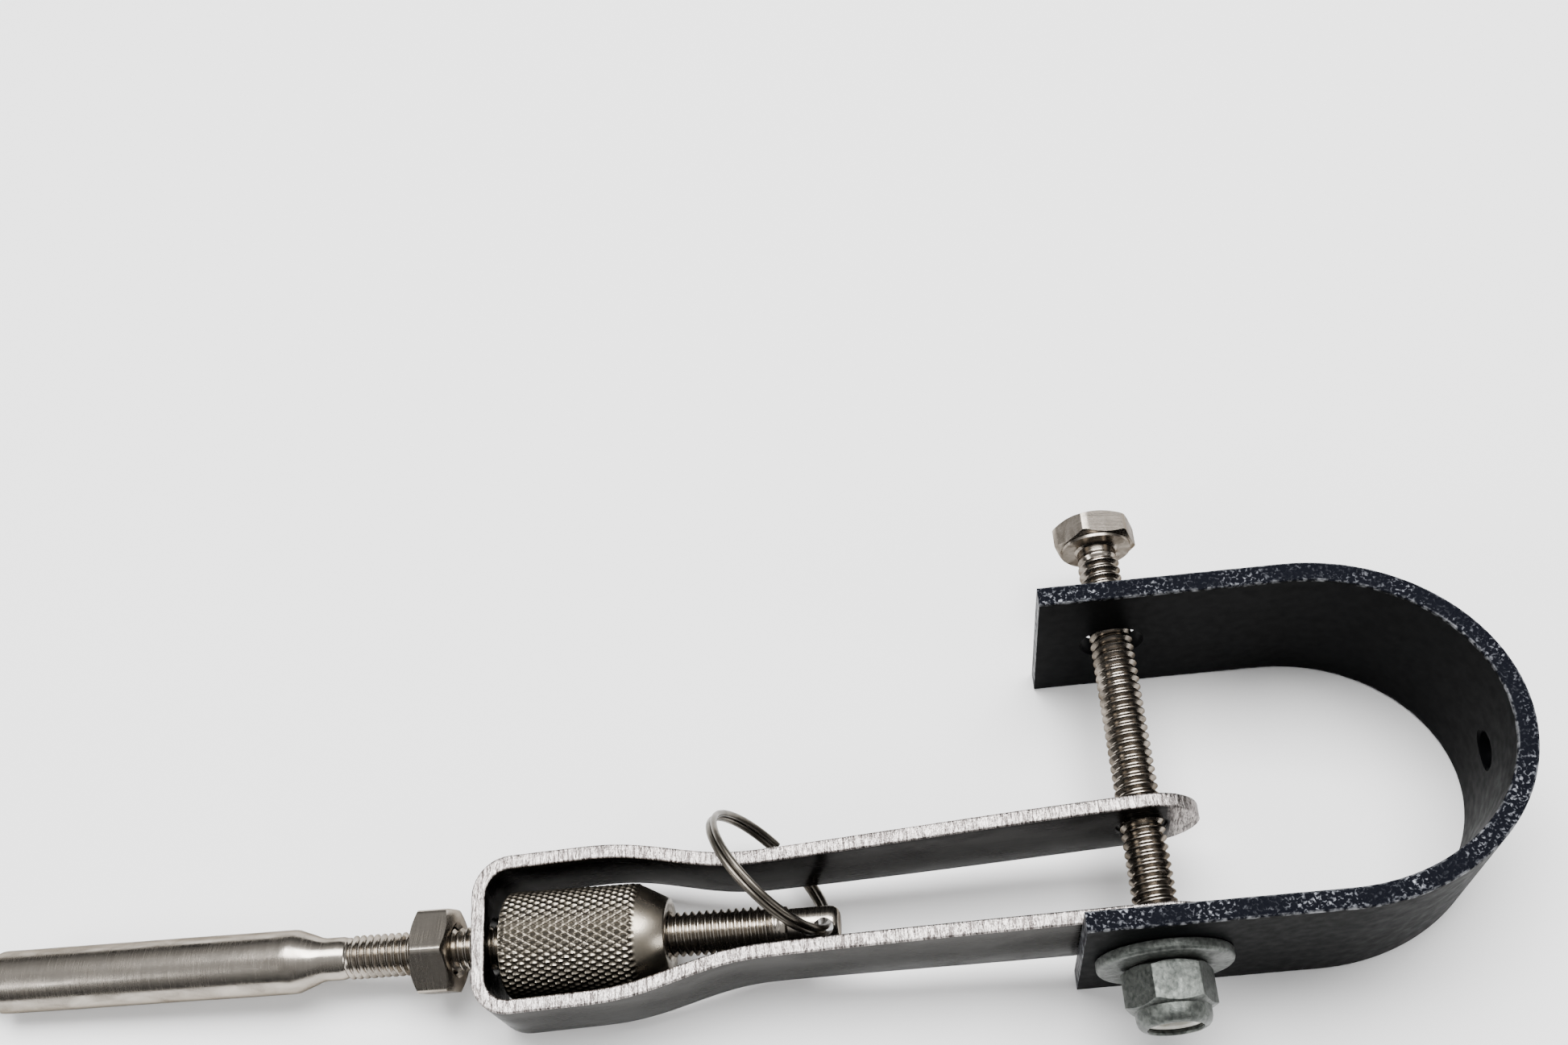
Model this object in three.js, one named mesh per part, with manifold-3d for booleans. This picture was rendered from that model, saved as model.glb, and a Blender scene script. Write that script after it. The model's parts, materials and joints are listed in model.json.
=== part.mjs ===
// Rigging turnbuckle: a wire rope's swaged stud is drawn into a fork by a knurled nut,
// and the fork swings on a bolt across a U-shaped bracket.
//
// Units are millimetres. X runs from the wire rope towards the bracket's bend, Y runs along
// the bolt towards its head, and Z is up. The bracket stands on the lower edge of its strip.
import * as THREE from "three";
import { mergeVertices } from "three/addons/utils/BufferGeometryUtils.js";
import Module from "manifold-3d";

const wasm = await Module();
wasm.setup();

// ---------------------------------------------------------------- driving dimensions
const CLEARANCE = 0.3; // gap between neighbouring pieces
const ROUND = 36; // sides of a turned piece

const BRACKET = {
  height: 30, // width of the strip, which stands on edge
  thickness: 2.8,
  outerWidth: 49.4, // over both legs
  legEnd: -11, // free end of the legs, from the bolt axis
  bendStart: 23.2, // where the straight legs turn into the bend
  bendDepth: 28.4, // outside, from the bend's start to its crown
  boltHole: 9,
  fixingHole: 5.2, // in the crown of the bend
};
const BOLT = {
  diameter: 6.2, // 1/4-20 over the crests
  length: 69.85, // under the head
  headStandoff: 12.7, // from the far leg to the underside of the head
  headHeight: 4,
  hexAcrossFlats: 11.1,
  washerFace: 0.4,
};
const WASHER = { diameter: 18.6, bore: 7.2, thickness: 1.6 };
const LOCK_NUT = {
  height: 8,
  hexHeight: 5.6,
  crownDiameter: 10.2,
  bore: 6.6,
  insertDepth: 2.2, // length of the nylon ring inside the crown
  insertDiameter: 8.6,
};
const FORK = {
  length: 95, // bolt axis to the outside of the end wall
  thickness: 2,
  halfWidthNut: 10.3, // middle of the strap, where it clears the knurled nut
  halfWidthWaist: 6.6, // at the waist
  halfWidthBolt: 7.6, // at the bolt
  cornerRadius: 3.6, // middle of the strap
  joggleStart: -80, // the arms step in between these two stations
  joggleEnd: -52,
  strapWidthNut: 12.6,
  strapWidthBolt: 16,
  taperStart: -78, // the strap widens between these two stations
  taperEnd: -10,
  boltHole: 7.2,
  studHole: 8.2,
  droop: 3.5, // degrees: the barrel lies on the ground
  skew: -0.4, // degrees: the fork is loose on its bolt
};
const STUD = {
  tilt: 2.5, // degrees: the stud is loose in the fork's end hole
  tip: 50.7, // from the middle of the fork's end wall to the plain tip
  threadEnd: 43.2,
  threadStart: -21.2,
  neckEnd: -25.2,
  barrelStart: -29.2,
  barrelEnd: -76,
  threadDiameter: 6.2,
  tipDiameter: 5.8,
  neckDiameter: 6.1,
  barrelDiameter: 9.2,
  crossHole: 2.6,
  crossHoleAt: 48.6,
};
const ADJUSTER = {
  start: 3.2, // from the middle of the fork's end wall
  knurlLength: 19.6,
  coneLength: 3.7,
  diameter: 15.2,
  coneDiameter: 10.4,
  bore: 6.7,
};
const JAM_NUT = { end: -4.8, thickness: 5.6, acrossFlats: 11.1, bore: 6.7 };
const COTTER = {
  radius: 11.2, // middle of the wire
  bandWidth: 1.9, // two turns side by side
  wire: 1,
  lean: 42, // degrees: its crown leans towards the rope
};
const ROPE = { diameter: 4.76 }; // 3/16 inch
const EYE = {
  barrelDiameter: 9.2,
  barrelLength: 24,
  eyeDiameter: 19,
  eyeThickness: 7,
  eyeHole: 8.4,
  neck: 6,
};

// ---------------------------------------------------------------- solids and cuts
const rad = THREE.MathUtils.degToRad;

function toSolid(geometry) {
  const bare = new THREE.BufferGeometry();
  const plain = geometry.index ? geometry.toNonIndexed() : geometry;
  bare.setAttribute("position", plain.getAttribute("position"));
  const merged = mergeVertices(bare, 1e-4);
  const vertProperties = new Float32Array(merged.attributes.position.array);
  const triVerts = new Uint32Array(merged.index.array);
  return new wasm.Manifold(new wasm.Mesh({ numProp: 3, vertProperties, triVerts }));
}

function toGeometry(solid) {
  const { vertProperties, triVerts } = solid.getMesh();
  const geometry = new THREE.BufferGeometry();
  geometry.setAttribute("position", new THREE.BufferAttribute(vertProperties, 3));
  geometry.setIndex(new THREE.BufferAttribute(triVerts, 1));
  geometry.computeVertexNormals();
  return geometry;
}

// A piece turned about X: profile points are [x, radius] from one end to the other.
function turned(profile, sides = ROUND) {
  const points = profile.map(([x, r]) => new THREE.Vector2(r, x));
  return new THREE.LatheGeometry(points, sides).rotateZ(-Math.PI / 2);
}

// A solid bar along X, used for bores.
function bar(from, to, diameter) {
  return toSolid(turned([[from, 0], [from, diameter / 2], [to, diameter / 2], [to, 0]]));
}

// A hexagonal bar along X with its corners turned off at both ends.
function hexBar(from, to, acrossFlats) {
  const corner = acrossFlats / Math.sqrt(3);
  const inner = (acrossFlats / 2) * 0.96;
  const slope = (corner - inner) * Math.tan(rad(30));
  const prism = toSolid(turned([[from, 0], [from, corner], [to, corner], [to, 0]], 6));
  const cones = toSolid(
    turned([
      [from, 0],
      [from, inner],
      [from + slope, corner],
      [to - slope, corner],
      [to, inner],
      [to, 0],
    ]),
  );
  return prism.intersect(cones);
}

// A plate whose outline lies in the XY plane, between two heights.
function plate(points, bottom, top) {
  const shape = new THREE.Shape(points);
  const options = { depth: top - bottom, bevelEnabled: false };
  return toSolid(new THREE.ExtrudeGeometry(shape, options).translate(0, 0, bottom));
}

function along(axis, geometry) {
  if (axis === "y") return geometry.rotateZ(Math.PI / 2);
  if (axis === "z") return geometry.rotateY(-Math.PI / 2);
  return geometry;
}

function piece(name, geometry, color, metalness, roughness) {
  const material = new THREE.MeshStandardMaterial({ color, metalness, roughness });
  const mesh = new THREE.Mesh(geometry, material);
  mesh.name = name;
  return mesh;
}

const STAINLESS = [0xb4aea4, 1, 0.32];
const ZINC = [0x8f9592, 0.9, 0.5];
const BLACK = [0x15161a, 0.2, 0.42];

// The outline of a strip bent along a centre line, offset half its thickness each way.
function stripOutline(line, thickness) {
  const left = [];
  const right = [];
  line.forEach((point, i) => {
    const before = line[Math.max(i - 1, 0)];
    const after = line[Math.min(i + 1, line.length - 1)];
    const side = new THREE.Vector2().subVectors(after, before).normalize();
    side.set(-side.y, side.x).multiplyScalar(thickness / 2);
    left.push(point.clone().add(side));
    right.unshift(point.clone().sub(side));
  });
  return [...left, ...right];
}

// ---------------------------------------------------------------- the bracket
function bracketLine() {
  const { legEnd, bendStart, bendDepth, outerWidth, thickness } = BRACKET;
  const depth = bendDepth - thickness / 2;
  const half = (outerWidth - thickness) / 2;
  const steps = 44;
  const line = [new THREE.Vector2(legEnd, half)];
  for (let i = 0; i <= steps; i++) {
    const turn = (Math.PI * i) / steps;
    line.push(new THREE.Vector2(bendStart + depth * Math.sin(turn), half * Math.cos(turn)));
  }
  line.push(new THREE.Vector2(legEnd, -half));
  return line;
}

function bracket() {
  const { height, thickness, outerWidth, boltHole, fixingHole, bendStart, bendDepth } = BRACKET;
  const strip = plate(stripOutline(bracketLine(), thickness), 0, height);
  const reach = outerWidth / 2 + 2;
  const across = bar(-reach, reach, boltHole).rotate([0, 0, 90]);
  const crown = bendStart + bendDepth;
  const fixing = bar(crown - 6, crown + 2, fixingHole);
  const axis = [0, 0, height / 2];
  const cut = strip.subtract(across.translate(axis)).subtract(fixing.translate(axis));
  return piece("bracket", toGeometry(cut), ...BLACK);
}

// ---------------------------------------------------------------- the clevis bolt's pieces
// Each is turned about X here, then stood along Y at the bolt's height.
function onBoltAxis(mesh) {
  mesh.geometry = along("y", mesh.geometry);
  mesh.position.z = BRACKET.height / 2;
  return mesh;
}

function clevisBolt() {
  const { diameter, length, headStandoff, headHeight, hexAcrossFlats, washerFace } = BOLT;
  const underHead = BRACKET.outerWidth / 2 + headStandoff;
  const tip = underHead - length;
  const shank = turned([
    [tip, 0],
    [tip, diameter / 2 - 0.7],
    [tip + 0.7, diameter / 2],
    [underHead, diameter / 2],
    [underHead, hexAcrossFlats / 2 - 0.3],
    [underHead + washerFace, hexAcrossFlats / 2 - 0.3],
    [underHead + washerFace, 0],
  ]);
  const head = hexBar(underHead + washerFace, underHead + headHeight, hexAcrossFlats);
  const whole = toSolid(shank).add(head.rotate([90, 0, 0]));
  return onBoltAxis(piece("clevis_bolt", toGeometry(whole), ...STAINLESS));
}

function nutWasher() {
  const face = -BRACKET.outerWidth / 2 - 0.05;
  const { diameter, bore, thickness } = WASHER;
  const ring = turned([
    [face - thickness, bore / 2],
    [face - thickness, diameter / 2],
    [face, diameter / 2],
    [face, bore / 2],
    [face - thickness, bore / 2],
  ]);
  return onBoltAxis(piece("nut_washer", ring, ...ZINC));
}

// The lock nut's bearing face, just clear of the washer.
const NUT_FACE = -BRACKET.outerWidth / 2 - WASHER.thickness - 0.15;

function lockNut() {
  const { height, hexHeight, crownDiameter, bore, insertDepth, insertDiameter } = LOCK_NUT;
  const end = NUT_FACE - height;
  const hex = hexBar(NUT_FACE - hexHeight, NUT_FACE, BOLT.hexAcrossFlats);
  const crown = toSolid(
    turned([
      [end, 0],
      [end, crownDiameter / 2 - 1],
      [end + 0.35, crownDiameter / 2 - 0.35],
      [end + 1, crownDiameter / 2],
      [NUT_FACE - hexHeight + 0.6, crownDiameter / 2],
      [NUT_FACE - hexHeight + 0.6, 0],
    ]),
  );
  const pocketEnd = end + 0.8 + insertDepth + CLEARANCE;
  const pocket = bar(end + 0.8 - CLEARANCE, pocketEnd, insertDiameter);
  const through = bar(end - 1, NUT_FACE + 1, bore);
  const whole = hex.add(crown).subtract(pocket).subtract(through);
  return onBoltAxis(piece("lock_nut", toGeometry(whole), ...ZINC));
}

function nylonInsert() {
  const start = NUT_FACE - LOCK_NUT.height + 0.8;
  const end = start + LOCK_NUT.insertDepth;
  const outer = LOCK_NUT.insertDiameter / 2 - CLEARANCE;
  const inner = LOCK_NUT.bore / 2;
  const ring = turned([
    [start, inner],
    [start, outer],
    [end, outer],
    [end, inner],
    [start, inner],
  ]);
  return onBoltAxis(piece("nylon_insert", ring, 0xe4e2da, 0, 0.5));
}

// ---------------------------------------------------------------- the fork
// Distance of an arm's middle from the fork's centre line at a station along it.
function armOffset(x) {
  const { joggleStart, joggleEnd, halfWidthNut, halfWidthWaist, halfWidthBolt } = FORK;
  const step = THREE.MathUtils.smootherstep(x, joggleStart, joggleEnd);
  const splay = THREE.MathUtils.smoothstep(x, joggleEnd - 8, 10);
  return halfWidthNut + (halfWidthWaist - halfWidthNut) * step + (halfWidthBolt - halfWidthWaist) * splay;
}

function forkLine() {
  const { length, thickness, cornerRadius, strapWidthBolt, halfWidthNut } = FORK;
  const wall = -length + thickness / 2;
  const tip = strapWidthBolt / 2;
  const farArm = [];
  for (let x = tip; x > wall + cornerRadius + 0.5; x -= 2.4) {
    farArm.push(new THREE.Vector2(x, armOffset(x)));
  }
  for (let i = 0; i <= 6; i++) {
    const turn = ((Math.PI / 2) * i) / 6;
    const x = wall + cornerRadius * (1 - Math.sin(turn));
    farArm.push(new THREE.Vector2(x, halfWidthNut - cornerRadius * (1 - Math.cos(turn))));
  }
  const nearArm = farArm.map(({ x, y }) => new THREE.Vector2(x, -y)).reverse();
  return [...farArm, ...nearArm];
}

// The strap seen from its side: narrow at the end wall, wide and round at the bolt.
function forkSide() {
  const { length, strapWidthNut, strapWidthBolt, taperStart, taperEnd } = FORK;
  const narrow = strapWidthNut / 2;
  const wide = strapWidthBolt / 2;
  const side = new THREE.Shape();
  side.moveTo(-length - 2, -narrow);
  side.lineTo(taperStart, -narrow);
  side.bezierCurveTo(taperStart + 20, -narrow, taperEnd - 20, -wide, taperEnd, -wide);
  side.lineTo(0, -wide);
  side.absarc(0, 0, wide, -Math.PI / 2, Math.PI / 2, false);
  side.lineTo(taperEnd, wide);
  side.bezierCurveTo(taperEnd - 20, wide, taperStart + 20, narrow, taperStart, narrow);
  side.lineTo(-length - 2, narrow);
  side.closePath();
  const options = { depth: 40, bevelEnabled: false, curveSegments: 14 };
  return toSolid(new THREE.ExtrudeGeometry(side, options).rotateX(Math.PI / 2).translate(0, 20, 0));
}

function fork() {
  const { thickness, strapWidthBolt, boltHole, studHole, length } = FORK;
  const outline = stripOutline(forkLine(), thickness);
  const blank = plate(outline, -strapWidthBolt, strapWidthBolt);
  const boltBore = bar(-20, 20, boltHole).rotate([0, 0, 90]);
  const studBore = bar(-length - 3, -length + 6, studHole);
  const whole = blank.intersect(forkSide()).subtract(boltBore).subtract(studBore);
  return piece("fork", toGeometry(whole), ...STAINLESS);
}

// ---------------------------------------------------------------- pieces on the stud's axis
// Here x = 0 is the middle of the fork's end wall.
function swageStud() {
  const s = STUD;
  const barrel = s.barrelDiameter / 2;
  const neck = s.neckDiameter / 2;
  const thread = s.threadDiameter / 2;
  const tip = s.tipDiameter / 2;
  const body = toSolid(
    turned([
      [s.barrelEnd, 0],
      [s.barrelEnd, barrel - 1.2],
      [s.barrelEnd + 0.4, barrel - 0.5],
      [s.barrelEnd + 1.3, barrel],
      [s.barrelStart, barrel],
      [s.barrelStart + 1.2, barrel - 0.35],
      [s.neckEnd - 0.4, neck + 0.25],
      [s.neckEnd + 0.6, neck],
      [s.threadStart, neck],
      [s.threadStart + 0.3, thread],
      [s.threadEnd, thread],
      [s.threadEnd + 0.3, tip],
      [s.tip - 0.8, tip],
      [s.tip - 0.2, tip - 0.5],
      [s.tip, tip - 1],
      [s.tip, 0],
    ]),
  );
  const crossHole = bar(-6, 6, s.crossHole).rotate([0, 90, 0]);
  const drilled = body.subtract(crossHole.translate([s.crossHoleAt, 0, 0]));
  return piece("swage_stud", toGeometry(drilled), ...STAINLESS);
}

function jamNut() {
  const { end, thickness, acrossFlats, bore } = JAM_NUT;
  const hex = hexBar(end - thickness, end, acrossFlats).rotate([12, 0, 0]);
  const nut = hex.subtract(bar(end - thickness - 1, end + 1, bore));
  return piece("jam_nut", toGeometry(nut), ...STAINLESS);
}

function adjusterNut() {
  const { start, knurlLength, coneLength, diameter, coneDiameter, bore } = ADJUSTER;
  const knurlEnd = start + knurlLength;
  const coneEnd = knurlEnd + coneLength;
  const nut = turned([
    [start, bore / 2],
    [start, diameter / 2 - 0.5],
    [start + 0.5, diameter / 2],
    [knurlEnd, diameter / 2],
    [coneEnd, coneDiameter / 2],
    [coneEnd, bore / 2],
    [start, bore / 2],
  ]);
  return piece("adjuster_nut", nut, ...STAINLESS);
}

// A closed ring of flat section: two turns of wire side by side. It passes through the
// stud's cross hole and around the far arm of the fork.
function cotterRing() {
  const { radius, bandWidth, wire, lean } = COTTER;
  const section = [];
  for (let i = 0; i <= 10; i++) {
    const turn = (2 * Math.PI * i) / 10;
    section.push(new THREE.Vector2(radius + (wire / 2) * Math.cos(turn), (bandWidth / 2) * Math.sin(turn)));
  }
  const ring = new THREE.LatheGeometry(section, 48).rotateZ(Math.PI / 2).translate(0, radius, 0);
  const mesh = piece("cotter_ring", ring, ...STAINLESS);
  mesh.position.x = STUD.crossHoleAt;
  mesh.rotation.z = rad(lean);
  return mesh;
}

// ---------------------------------------------------------------- the rope and its far end
// The rope's route: straight out of the barrel, then level with the eye terminal's barrel.
const ROPE_ROUTE = [
  [-110.79, -14.34, 4.61],
  [-115.8, -14.16, 4.3],
  [-120.8, -13.98, 4],
  [-125.8, -13.8, 3.7],
  [-130.8, -13.63, 3.45],
  [-135.8, -13.47, 3.27],
  [-140.8, -13.33, 3.17],
  [-145.8, -13.21, 3.15],
  [-150.8, -13.11, 3.2],
  [-155.8, -13.03, 3.33],
  [-160.8, -12.97, 3.53],
  [-165.8, -12.93, 3.78],
  [-170.8, -12.9, 4.04],
  [-175.8, -12.88, 4.29],
  [-180.8, -12.87, 4.5],
  [-185.8, -12.86, 4.64],
  [-190.8, -12.86, 4.7],
];

function wireRope() {
  const section = new THREE.Shape();
  section.absarc(0, 0, ROPE.diameter / 2, 0, 2 * Math.PI, false);
  const route = new THREE.CatmullRomCurve3(ROPE_ROUTE.map((point) => new THREE.Vector3(...point)));
  const options = { steps: 8, curveSegments: 5, bevelEnabled: false, extrudePath: route };
  const geometry = new THREE.ExtrudeGeometry(section, options);
  return piece("wire_rope", geometry, ...STAINLESS);
}

function eyeTerminal() {
  const { barrelDiameter, barrelLength, eyeDiameter, eyeThickness, eyeHole, neck } = EYE;
  const r = barrelDiameter / 2;
  const centre = -barrelLength - neck - eyeDiameter / 2;
  const barrel = toSolid(
    turned([
      [centre, 0],
      [centre, 3.2],
      [-barrelLength - 2, 3.2],
      [-barrelLength, r],
      [-1.3, r],
      [-0.4, r - 0.5],
      [0, r - 1.2],
      [0, 0],
    ]),
  );
  const half = eyeThickness / 2;
  const rim = eyeDiameter / 2;
  const disc = turned([
    [-half, 0],
    [-half, rim - 1],
    [-half + 1, rim],
    [half - 1, rim],
    [half, rim - 1],
    [half, 0],
  ]);
  const hole = bar(-half - 1, half + 1, eyeHole).rotate([0, 90, 0]);
  const eye = toSolid(along("z", disc)).subtract(hole).translate([centre, 0, 0]);
  const whole = barrel.subtract(hole.translate([centre, 0, 0])).add(eye);
  const mesh = piece("eye_terminal", toGeometry(whole), ...STAINLESS);
  const [x, y, z] = ROPE_ROUTE.at(-1);
  mesh.position.set(x - CLEARANCE, y, z);
  return mesh;
}

// ---------------------------------------------------------------- assembly
const assembly = new THREE.Group();
assembly.add(bracket(), clevisBolt(), nutWasher(), lockNut(), nylonInsert());

const nearLegInside = -BRACKET.outerWidth / 2 + BRACKET.thickness;
const forkGroup = new THREE.Group();
forkGroup.position.y = nearLegInside + CLEARANCE + FORK.halfWidthBolt + FORK.thickness / 2;
forkGroup.position.z = BRACKET.height / 2;
forkGroup.rotation.set(0, -rad(FORK.droop), -rad(FORK.skew));
forkGroup.add(fork());
assembly.add(forkGroup);

const studGroup = new THREE.Group();
studGroup.position.x = -FORK.length + FORK.thickness / 2;
studGroup.rotation.z = -rad(STUD.tilt);
studGroup.add(swageStud(), jamNut(), adjusterNut(), cotterRing());
forkGroup.add(studGroup);

// The origin goes under the middle of the fitting's own box, without the rope and its end.
const fitting = new THREE.Box3().setFromObject(assembly, true);
const middle = fitting.getCenter(new THREE.Vector3());
assembly.position.set(-middle.x, -middle.y, -fitting.min.z);

const part = new THREE.Group();
part.add(assembly, wireRope(), eyeTerminal());
export default part;
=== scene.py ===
# %% [markdown]
# # A rigging turnbuckle, piece by piece
# A wire rope ends in a swaged stud. A knurled nut draws the stud into a fork of bent strap, and
# the fork swings on a bolt across a U-shaped bracket. The packed frame gives every axis and box,
# and this lesson builds the fine surface of each piece around them: real threads, a real knurl,
# rounded sheared edges and metals whose gloss varies the way worked steel does.

# %% Load the frame
import json
import math

import bmesh
import bpy
from mathutils import Matrix, Vector, noise


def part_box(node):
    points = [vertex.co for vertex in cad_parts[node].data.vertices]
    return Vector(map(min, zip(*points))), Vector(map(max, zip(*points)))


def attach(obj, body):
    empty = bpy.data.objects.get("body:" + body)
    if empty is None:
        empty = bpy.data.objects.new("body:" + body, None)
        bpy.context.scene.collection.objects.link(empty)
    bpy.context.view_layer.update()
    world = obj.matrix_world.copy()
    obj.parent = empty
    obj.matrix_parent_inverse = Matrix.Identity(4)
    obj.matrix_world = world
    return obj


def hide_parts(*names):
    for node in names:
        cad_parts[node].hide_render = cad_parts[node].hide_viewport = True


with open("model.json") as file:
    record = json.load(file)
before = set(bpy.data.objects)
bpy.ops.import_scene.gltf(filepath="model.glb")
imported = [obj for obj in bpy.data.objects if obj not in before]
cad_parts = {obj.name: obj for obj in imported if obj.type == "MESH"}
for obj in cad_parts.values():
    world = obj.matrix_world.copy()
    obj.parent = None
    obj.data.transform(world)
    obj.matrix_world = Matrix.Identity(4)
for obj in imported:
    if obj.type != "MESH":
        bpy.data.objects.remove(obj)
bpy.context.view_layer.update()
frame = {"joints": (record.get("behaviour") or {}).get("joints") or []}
JOINTS = {joint["name"]: joint for joint in frame["joints"]}
MM = 0.001

# %% [markdown]
# ## Three local frames
# Turned pieces are easiest to draw lying along their own X axis, in millimetres. A matrix then
# carries each one to its place. The three matrices come from the joints: the bolt's axis from the
# hinge of the fork, the stud's axis from the hinge of the knurled nut, and the fork's own frame
# from the line between them.

# %% The frames of the bolt, the stud and the fork
BOLT_AT = Vector(JOINTS["fork_swing"]["pos_m"])
STUD_AT = Vector(JOINTS["adjuster_turn"]["pos_m"])
STUD_X = Vector(JOINTS["adjuster_turn"]["axis"]).normalized()
STUD_Z = Vector(JOINTS["cotter_swing"]["axis"]).normalized()


def local_frame(origin, x_axis, z_axis):
    """A matrix from millimetres on local axes to metres in the scene."""
    y_axis = z_axis.cross(x_axis)
    turn = Matrix((x_axis, y_axis, z_axis)).transposed().to_4x4()
    return Matrix.Translation(origin) @ turn @ Matrix.Scale(MM, 4)


FORK_LENGTH = 95.0  # bolt axis to the outside of the end wall
STRAP = 2.0  # thickness of the fork's strap
bracket_low, bracket_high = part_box("bracket")
BRACKET_STRIP = 2.8  # thickness of the bracket's strip
HALF_AT_BOLT = 7.6  # fork's centre line to the middle of an arm, at the bolt
FORK_GAP = 0.3  # between the near leg and the fork's near arm
fork_y = bracket_low.y + (BRACKET_STRIP + FORK_GAP + HALF_AT_BOLT + STRAP / 2) * MM
FORK_AT = Vector((BOLT_AT.x, fork_y, BOLT_AT.z))
FORK_X = (FORK_AT - STUD_AT).normalized()

GROUND_FRAME = Matrix.Translation((BOLT_AT.x, BOLT_AT.y, 0)) @ Matrix.Scale(MM, 4)
BOLT_FRAME = local_frame(BOLT_AT, Vector((0, 1, 0)), Vector((0, 0, 1)))
STUD_FRAME = local_frame(STUD_AT, STUD_X, STUD_Z)
FORK_FRAME = local_frame(FORK_AT, FORK_X, STUD_Z)
print("stud to fork's bolt, mm:", round((FORK_AT - STUD_AT).length / MM, 2))

# %% [markdown]
# ## The camera
# The camera looks down steeply from over the near leg, with a small roll, through a lens a little
# shorter than normal. A Track To constraint could aim it, but a place and three angles give the
# roll as well. It comes before any piece, because it shows which sides need fine detail.

# %% The camera
SENSOR = 36  # mm
LENS = 40.426  # mm
CAMERA_AT = Vector((-31.33, -85.40, 254.98))  # from the bolt's axis on the ground, in mm
AZIMUTH = math.radians(6.70)
ELEVATION = math.radians(60.82)
ROLL = math.radians(-11.77)


def make_camera():
    data = bpy.data.cameras.new("camera")
    data.sensor_width = SENSOR
    data.lens = LENS
    data.clip_start = 0.01
    data.clip_end = 20
    look = Vector((-math.sin(AZIMUTH) * math.cos(ELEVATION),
                   math.cos(AZIMUTH) * math.cos(ELEVATION),
                   -math.sin(ELEVATION)))
    level = Vector((math.cos(AZIMUTH), math.sin(AZIMUTH), 0))
    up = level.cross(look)
    right = level * math.cos(ROLL) + up * math.sin(ROLL)
    top = up * math.cos(ROLL) - level * math.sin(ROLL)
    turn = Matrix((right, top, -look)).transposed().to_4x4()
    camera = bpy.data.objects.new("camera", data)
    camera.matrix_world = Matrix.Translation(GROUND_FRAME @ CAMERA_AT) @ turn
    bpy.context.scene.collection.objects.link(camera)
    bpy.context.scene.camera = camera
    return camera


camera = make_camera()
print("lens in mm:", round(camera.data.lens, 2))

# %% [markdown]
# ## Helpers for meshes
# Nearly every piece here is either turned on a lathe or a strip bent on a former. A turned piece
# is a stack of rings, and a ring's reach may vary around it, which gives hexagons and chamfers
# with no cutting at all. Cuts that cross the turning, such as drilled holes, are booleans.

# %% From vertices to a finished piece
SHARP = math.radians(32)


def mesh_object(name, vertices, faces, matrix=Matrix.Identity(4)):
    """Welds a raw mesh, turns its faces outwards and links it, in its local millimetres."""
    mesh = bpy.data.meshes.new(name)
    mesh.from_pydata([matrix @ Vector(v) for v in vertices], [], faces)
    work = bmesh.new()
    work.from_mesh(mesh)
    bmesh.ops.remove_doubles(work, verts=work.verts, dist=0.002)
    bmesh.ops.dissolve_degenerate(work, edges=work.edges, dist=0.0005)
    bmesh.ops.recalc_face_normals(work, faces=work.faces)
    work.to_mesh(mesh)
    work.free()
    piece = bpy.data.objects.new(name, mesh)
    bpy.context.scene.collection.objects.link(piece)
    return piece


def boolean(piece, other, operation="DIFFERENCE"):
    """Cuts or joins another object into a piece, and removes the other object."""
    modifier = piece.modifiers.new("cut", "BOOLEAN")
    modifier.operation = operation
    modifier.solver = "EXACT"
    modifier.object = other
    bpy.context.view_layer.update()
    graph = bpy.context.evaluated_depsgraph_get()
    mesh = bpy.data.meshes.new_from_object(piece.evaluated_get(graph))
    piece.modifiers.clear()
    piece.data = mesh
    bpy.data.objects.remove(other)
    return piece


def finish_piece(piece, matrix, body, node, material, sharp=SHARP):
    """Keeps each point's local place as an attribute, then sets the piece in the scene."""
    mesh = piece.data
    local = mesh.attributes.new("local", "FLOAT_VECTOR", "POINT")
    flat = [value for vertex in mesh.vertices for value in vertex.co]
    local.data.foreach_set("vector", flat)
    mesh.transform(matrix)
    mesh.polygons.foreach_set("use_smooth", [True] * len(mesh.polygons))
    mesh.set_sharp_from_angle(angle=sharp)
    mesh.materials.clear()
    mesh.materials.append(material)
    mesh.update()
    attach(piece, body)
    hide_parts(node)
    print(piece.name, "has", len(mesh.polygons), "faces")
    return piece


print("edges bent by more than", round(math.degrees(SHARP)), "degrees stay hard")


# %% Rings around the X axis
def ring_stack(rings, sides, joined=False):
    """Vertices and faces of rings [x, r] about X, where x and r may be functions of the turn."""
    vertices = []
    for x, r in rings:
        for j in range(sides):
            turn = 2 * math.pi * j / sides
            reach = r(turn) if callable(r) else r
            along = x(turn) if callable(x) else x
            vertices.append((along, reach * math.cos(turn), reach * math.sin(turn)))
    faces = []
    count = len(rings)
    for i in range(count if joined else count - 1):
        for j in range(sides):
            a = i * sides + j
            b = i * sides + (j + 1) % sides
            shift = ((i + 1) % count - i) * sides
            faces.append((a, b, b + shift, a + shift))
    return vertices, faces


def turned(name, rings, sides=96, joined=False):
    return mesh_object(name, *ring_stack(rings, sides, joined))


def drill(name, start, end, radius, matrix, flare=0.0, sides=48):
    """A cutter along local X that flares by a little at both ends of the wall it cuts."""
    low, high = min(start, end), max(start, end)
    rings = [[low - 3, 0], [low - 3, radius + 3 + flare], [low + flare, radius],
             [high - flare, radius], [high + 3, radius + 3 + flare], [high + 3, 0]]
    return mesh_object(name, *ring_stack(rings, sides), matrix)


print("two rings of six sides give", len(ring_stack([[0, 1], [1, 1]], 6)[1]), "faces")

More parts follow.
